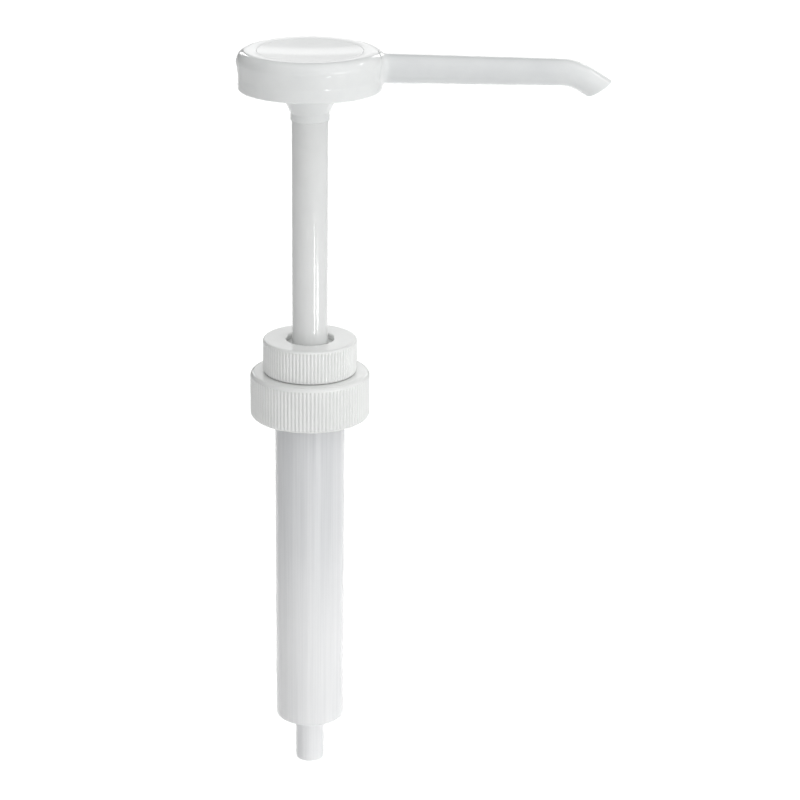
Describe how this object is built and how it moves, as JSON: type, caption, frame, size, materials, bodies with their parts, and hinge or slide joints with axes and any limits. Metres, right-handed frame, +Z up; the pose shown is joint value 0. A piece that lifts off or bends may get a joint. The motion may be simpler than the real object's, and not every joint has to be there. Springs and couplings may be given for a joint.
{
  "type": "condiment pump dispenser",
  "caption": "Hand pump for thick sauces: a round press head with a drooping spout on a hollow rod, ribbed collars for a jug's neck and a long barrel with an inlet spigot.",
  "frame": {"origin": "on the pump's axis, in the plane where the neck gasket meets the jug's rim", "axes": "+Z up along the rod towards the press head, +X along the spout at rest"},
  "size_m": [0.1296, 0.0512, 0.2709],
  "materials": {
    "head_plastic": "smooth gloss white polypropylene",
    "rod_plastic": "smooth gloss white polypropylene",
    "collar_plastic": "gloss white polypropylene with moulded ribs",
    "barrel_plastic": "milky, slightly translucent polyethylene",
    "valve_plastic": "satin natural polypropylene",
    "gasket_foam": "foamed polyethylene liner",
    "seal_rubber": "pale food-grade silicone rubber",
    "spring_steel": "drawn stainless wire",
    "ball_steel": "polished stainless steel"
  },
  "bodies": {
    "barrel_unit": {"barrel": "barrel_plastic", "neck_gasket": "gasket_foam", "upper_collar": "collar_plastic", "rod_guide": "valve_plastic", "guide_gasket": "seal_rubber", "rod_o_ring": "seal_rubber", "inlet_cage": "valve_plastic", "return_spring": "spring_steel"},
    "closure": {"screw_cap": "collar_plastic"},
    "intake_ball": {"inlet_ball": "ball_steel"},
    "follower": {"spring_follower": "valve_plastic"},
    "plunger": {"rod": "rod_plastic", "head": "head_plastic", "head_top_plate": "head_plastic", "hub_o_ring": "seal_rubber", "piston_body": "valve_plastic", "piston_cup": "seal_rubber", "seat_plug": "valve_plastic"},
    "delivery_ball": {"outlet_ball": "ball_steel"}
  },
  "joints": [
    {"name": "head_press", "type": "slide", "parent": "barrel_unit", "child": "follower", "axis": [0, 0, -1], "range_m": [0, 0.0815], "stiffness_N_per_m": 180, "springref_m": -0.05, "deforming": ["return_spring"]},
    {"name": "head_swivel", "type": "hinge", "parent": "follower", "child": "plunger", "pos_m": [0, 0, 0], "axis": [0, 0, 1], "continuous": true},
    {"name": "cap_spin", "type": "hinge", "parent": "barrel_unit", "child": "closure", "pos_m": [0, 0, 0], "axis": [0, 0, 1], "continuous": true},
    {"name": "inlet_ball_lift", "type": "slide", "parent": "barrel_unit", "child": "intake_ball", "axis": [0, 0, 1], "range_m": [0, 0.0025]},
    {"name": "outlet_ball_lift", "type": "slide", "parent": "plunger", "child": "delivery_ball", "axis": [0, 0, 1], "range_m": [0, 0.002]}
  ]
}
